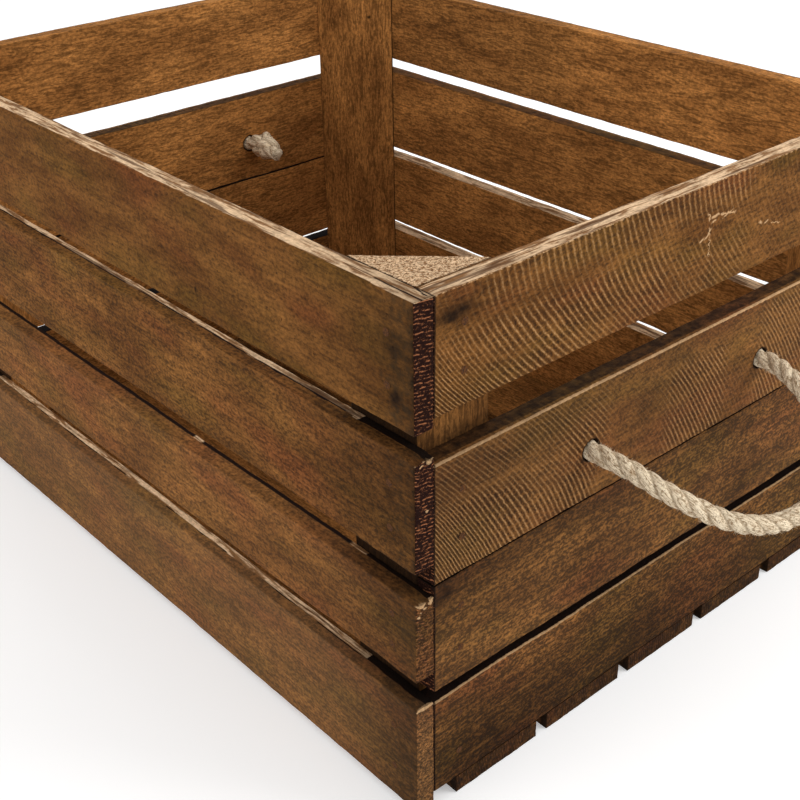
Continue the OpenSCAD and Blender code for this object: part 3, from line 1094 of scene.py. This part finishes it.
def knot_route(across):
    """An overhand knot behind the board: from the hole, round itself, to its tail."""
    scale, lift, open_by = 4.5, 7.0, 0.75
    route = [(-12, 0, 0), (-20.5, 0, 1.5)]
    for t in np.linspace(math.pi + open_by, 3 * math.pi - open_by, 13):
        out = scale * (math.sin(t) + 2 * math.sin(2 * t))
        over = scale * (math.cos(t) - 2 * math.cos(2 * t) + 1.35)
        route.append((-37 + out, -0.9 * over, -lift * math.sin(3 * t)))
    route += [(-54, 0, -1.5), (-62, 0, 0), (-72, 0, 0)]
    return [(out, across + over, up) for out, over, up in route]


def add_rope(side, material):
    """One loop with its two knots."""
    seed = ROPE_SEEDS[side]
    half = [(out, -across, up) for out, across, up in ROPE_ROUTE]
    route = half + [(out, -across, up) for out, across, up in reversed(half)]
    line, run = smooth_line(at_end(side, route), LOOP_STEP)
    surfaces = [rope_surface(line, run, seed)]
    for k, fibres in enumerate(LOOP_FIBRES):
        surfaces.append(loose_fibres(line, seed + k, *fibres))
    loop = rope_object(f"{side}_rope_loop", surfaces, material)
    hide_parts(f"{side}_rope_handle")

    surfaces = []
    for k, across in enumerate((-HOLE_ACROSS, HOLE_ACROSS)):
        knot_line, knot_run = smooth_line(at_end(side, knot_route(across)), KNOT_STEP)
        surfaces.append(rope_surface(knot_line, knot_run, seed + 2 + k))
        surfaces.append(loose_fibres(knot_line, seed + 4 + k, *KNOT_FIBRES))
    knots = rope_object(f"{side}_rope_stopper_knots", surfaces, material)
    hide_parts(f"{side}_rope_knots")
    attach(knots, "crate")

    start, end = at_end(side, [(0, 0, 0), (SWING_OUT, 0, 0)])
    metres(start)
    metres(end)
    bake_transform(loop)
    exit_point = at_end(side, [(0, -HOLE_ACROSS, 0)])[0]
    metres(exit_point)


# ---- Looks of the boards


def like(base, **changes):
    """A look like another one, but for these values."""
    return SimpleNamespace(**{**vars(base), **changes})


# The usual look. Places are (along, across) from a board's lower corner, along with +X or +Y.
PLAIN = SimpleNamespace(
    step=(5, 5),  # grid spacing along and across
    chips=(),  # along the upper outer arris: start, stop, depth
    end_chips=(),  # pale, on the last end: place through and down, half sizes, strength
    wave=1.0,  # how far the long edges sway
    broken=0.0,  # how far the last upper corner is broken down
    contrast=1.0,  # strength of the outer face's fine marks
    faded=0.05,  # how far the stain has faded
    bright=1.0,  # brightness of the whole board
    red=0.0,  # how far the outer face turns red
    lit=(0, 1, 1.0, 1.0),  # painted light on the inner face: two places, and its brightness before and after them
    shades=(),  # places of painted light and shade: middle, half sizes, factor
    stains=(),  # dark places: middle, half sizes, strength
    knots=(),  # middle, half sizes, number of rings, strength
    drab=0.0,  # greyish mottling near the ends
    saw=(5, 5, 0, 0.5, 0.1),  # saw marks: spacing before and after a place, it, lean, bend
    sawn=0.0,  # strength of the saw marks, and of their painted highlights and shade
    sawn_at=(),  # where they are stronger: from and to along, then across, strength
    wear=(0.5, 0.2, 0.2),  # pale wear on the upper, lower and end arrises
    wear_width=1.3,  # reach of the wear on the upper arris
    corner_wear=0.0,  # pale wear on the upper corners
    end_dark=0.3,  # darkness towards the ends
    end_like_face=0.0,  # how much the ends look like the face
    joint=False,  # dark joint line at the ends
    rim=(0, 0.0, 0, 20),  # upper edge: like the face to a depth, then how pale, from and to a depth; in the gaps the pale part is painted light and the rest painted shade
    rim_swell=0.0,  # how far the pale part widens in places
    rim_chips=(),  # pale chips of the upper edge: middle and half length
    cracks=(),  # in the upper edge: from and to along, then through
    rim_soot=0.0,  # painted shade on the upper edge, deeper in a gap
    rim_ends=False,  # painted shade, black, on the upper edge over the posts
    rim_like_inside=False,  # an upper edge that looks like the inner face
    open_rim=False,  # an upper edge of the crate's rim, with a painted shade line along one arris
    shift_grain=1,  # 0 where the grain starts at the board's corner
)
RIPPLED = like(PLAIN, step=(1.15, 2.2), sawn=0.15, joint=True, contrast=1.1)
# Boards below a gap: the upper edge's inner part is painted light from inside the crate, with a
# painted shade line before it and painted shade over the posts
SIDE_GAP = like(PLAIN, rim=(10.3, 0.95, 12, 20), rim_swell=5, rim_ends=True, corner_wear=0.6,
                contrast=1.1, drab=0.5, broken=3.0, wear=(0.05, 0.2, 0.2))

# Where the gaps of the long sides end, at the near post
GAP_END = 2 * END_X - POST_LEG

LOOKS = {
    "front_board_1": like(PLAIN,
        rim=(0, 0.95, 0, 20), open_rim=True, wave=0.7, corner_wear=0.5, chips=[(-10, 706, 3.0)],
        end_dark=0.6, drab=0.6, contrast=0.85, wear=(0.1, 0.2, 0.2), bright=0.97, faded=0.0,
        shades=[(745, 62, 60, 50, 0.55), (745, 10, 30, 40, 0.7)],
        cracks=[(700, 745, 8.2, 7.6), (726, 742, 17.5, 14)],
        stains=[(724, 62, 15, 24, 0.55), (727, 22, 9, 9, 0.75), (700, 84, 12, 7, 0.4),
            (527, 75, 8, 3, 0.5), (500, 21, 2, 5, 0.8)]),
    "front_board_2": like(SIDE_GAP,
        end_dark=0.6, bright=1.02, contrast=1.25, faded=0.02,
        shades=[(745, 48, 85, 900, 0.5), (0, 20, 160, 70, 0.84)], rim_chips=[(GAP_END - 3, 3)],
        end_chips=[(13, 2, 3, 1.6, 1.1), (6, 3.5, 2.6, 1.1, 1.0), (9, 6, 1.4, 1, 0.9),
            (11, 42, 2, 1.6, 1.0)], stains=[(720, 56, 10, 12, 0.6), (718, 22, 8, 8, 0.5)],
        knots=[(722, 60, 10, 11, 1.6, 0.5)]),
    "front_board_3": like(SIDE_GAP,
        rim=(13.4, 0.0, 13, 20), red=0.05, wave=1.4, faded=0.07, bright=1.13, contrast=1.4,
        shades=[(745, 40, 85, 900, 0.48)], end_like_face=0.5, corner_wear=0.8,
        rim_chips=[(457, 6), (670, 12)],
        end_chips=[(14, 2.5, 2.4, 2, 1.1), (9, 5, 2.2, 1.6, 1.1), (5, 8, 2.2, 1.4, 1.1),
            (2.5, 11, 1.6, 1.2, 1.0), (11, 9, 1.3, 1, 0.9)], chips=[(452, 466, 2.0), (656, 690, 2.0)],
        knots=[(708, 36, 26, 20, 3.3, 0.62)]),
    "front_board_4": like(SIDE_GAP,
        rim=(10, 0.95, 10.8, 20), corner_wear=0.4, faded=0.18, bright=1.05, contrast=1.6,
        shades=[(745, 50, 72, 900, 0.36), (0, 0, 200, 60, 0.8)], end_like_face=0.85, broken=1.0,
        end_chips=[(9, 1, 10, 1.8, 1.2)], stains=[(728, 60, 12, 40, 0.4)]),
    "right_board_1": like(RIPPLED,
        rim=(0, 0.95, 0.5, 20), open_rim=True, saw=(3.4, 6.2, 5, 0.3, 0.35), shift_grain=0,
        sawn_at=[(45, 330, 62, 110, 0.7), (-30, 235, -20, 54, 0.9), (235, 330, -20, 45, 0.5)],
        bright=1.02, faded=0.0, shades=[(14, 72, 30, 16, 0.62)],
        stains=[(20, 70, 25, 8, 0.72), (14, 67, 9, 4, 0.8), (25, 71, 9, 3.5, 0.85),
            (8, 74, 8, 5, 0.5), (335, 5, 16, 6, 0.45)]),
    "right_board_2": like(RIPPLED,
        saw=(3.0, 4.9, -12, 1.0, -0.25),
        sawn_at=[(-30, 165, -20, 64, 1.0), (-30, 130, 60, 100, 0.6), (120, 180, 45, 88, 0.9),
            (250, 325, -10, 78, 0.9), (370, 560, -10, 95, 0.8)], wear=(1.25, 0.3, 0.2), wear_width=1.5,
        wave=0.5, rim=(20, 0, 20, 20), rim_soot=0.68, faded=0.06, bright=0.9, contrast=1.25,
        shades=[(40, 85, 110, 40, 0.72), (160, 62, 40, 30, 1.22), (345, 42, 55, 60, 1.18),
            (238, 40, 55, 26, 0.8), (235, 92, 70, 18, 0.88)],
        stains=[(23, 31, 5, 6, 0.6), (45, 67, 24, 0.9, 0.7), (60, 80, 30, 0.9, 0.6)]),
    "right_board_3": like(PLAIN,
        bright=0.76, joint=True, faded=0.1, wear=(0.2, 0.3, 0.2), wave=1.2, contrast=2.6,
        chips=[(300, 312, 2.5)],
        shades=[(0, 98, 60, 40, 0.55), (220, 102, 700, 30, 0.72), (165, 40, 28, 50, 0.76),
            # The stain at the upper corner by the front post is painted shade
            (125, 55, 22, 40, 1.12), (365, 28, 26, 42, 0.66)], stains=[(8, 86, 26, 14, 0.6)],
        knots=[(24, 30, 4, 4, 1.5, 0.8), (120, 60, 60, 26, 5.0, 0.3)]),
    "right_board_4": like(PLAIN,
        bright=0.64, joint=True, faded=0.08, wear=(1.15, 0.1, 0.2), wave=1.8, contrast=3.0, drab=0.6,
        shades=[(40, 30, 60, 60, 0.72), (70, 8, 70, 36, 0.55), (250, 4, 220, 36, 0.55),
            (95, 90, 90, 28, 1.3), (240, 44, 150, 36, 0.74)],
        stains=[(75, 14, 40, 14, 0.45), (250, 14, 60, 14, 0.4)]),
    "left_board_1": like(RIPPLED,
        saw=(5.0, 5.8, 40, 0.4, 0.2), sawn=0.7, open_rim=True, bright=1.08, rim_like_inside=True),
    "left_board_2": like(RIPPLED,
        saw=(4.2, 4.8, 0, 0.9, -0.2), sawn=0.6, wear=(1.1, 0.2, 0.2), wear_width=1.5,
        rim=(20, 0, 20, 20), rim_soot=0.6),
    "left_board_3": like(PLAIN, joint=True, wave=1.2, contrast=1.4),
    "left_board_4": like(PLAIN, joint=True, bright=0.8, wave=1.4, wear=(0.9, 0.1, 0.2), contrast=1.6),
    "back_board_1": like(PLAIN,
        open_rim=True, lit=(330, 430, 0.86, 1.28), rim_like_inside=True, wave=0.3,
        stains=[(208, 40, 9, 45, 0.4)]),
    "back_board_2": like(SIDE_GAP, rim=(20, 0, 20, 20), rim_ends=False, wave=0.3, rim_soot=0.5),
    "back_board_3": like(SIDE_GAP, rim=(0, 0.95, 0.5, 20), wave=1.4),
    "back_board_4": like(SIDE_GAP, rim=(0, 0.95, 0.5, 20), end_like_face=0.5),
}
for slat in range(1, 6):
    LOOKS[f"base_slat_{slat}"] = like(PLAIN, step=(8, 6), bright=0.7, wave=1.4, end_dark=1.4,
                                      end_like_face=0.6, contrast=1.4)

# Of each post: its seed, how bright its sides are, and its knots
POST_LOOKS = {
    "front_left_post": (51, 1.0, ()),
    "front_right_post": (52, 0.55, ()),
    "back_left_post": (53, 1.0, [(38, 55, 3)]),
    "back_right_post": (54, 1.0, ()),
}

# Pale scratches on the top board of the right end: their two ends and half width
SCRATCHES = (
    ((277, 65), (280, 58), 1.1), ((281, 60), (292, 61), 1.3), ((282, 56), (288, 57), 1.0),
    ((276, 44), (283, 52), 1.4), ((269, 43), (275, 46), 1.2), ((280, 53), (281, 46), 1.1),
    ((292, 60), (312, 57), 1.1), ((296, 56), (308, 60), 0.8), ((281, 48), (283, 28), 0.5),
    ((345, 39), (350, 37), 1.2), ((353, 36), (358, 37), 1.0), ((362, 34), (374, 30), 0.6),
)


add_camera()
rope_material = rope_fibre("rope_fibre")
for end_side in ("right", "left"):
    add_rope(end_side, rope_material)

wood = stained_wood("stained_wood")
scratched_wood = stained_wood("stained_wood_scratched", SCRATCHES)
for node, look in LOOKS.items():
    piece = board(node, look)
    piece.data.materials.append(scratched_wood if node == "right_board_1" else wood)
    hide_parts(node)
    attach(piece, "crate")
for node, post_look in POST_LOOKS.items():
    piece = post(node, *post_look)
    piece.data.materials.append(wood)
    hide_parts(node)
    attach(piece, "crate")

stained_steel = nail_steel("nail_steel")
for wall_name in WALLS:
    for material_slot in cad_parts[f"{wall_name}_nails"].material_slots:
        material_slot.material = stained_steel

set_world()
add_floor()
for lamp_name, lamp in LAMPS.items():
    add_lamp(lamp_name, *lamp)
bpy.context.scene.view_settings.view_transform = "Standard"
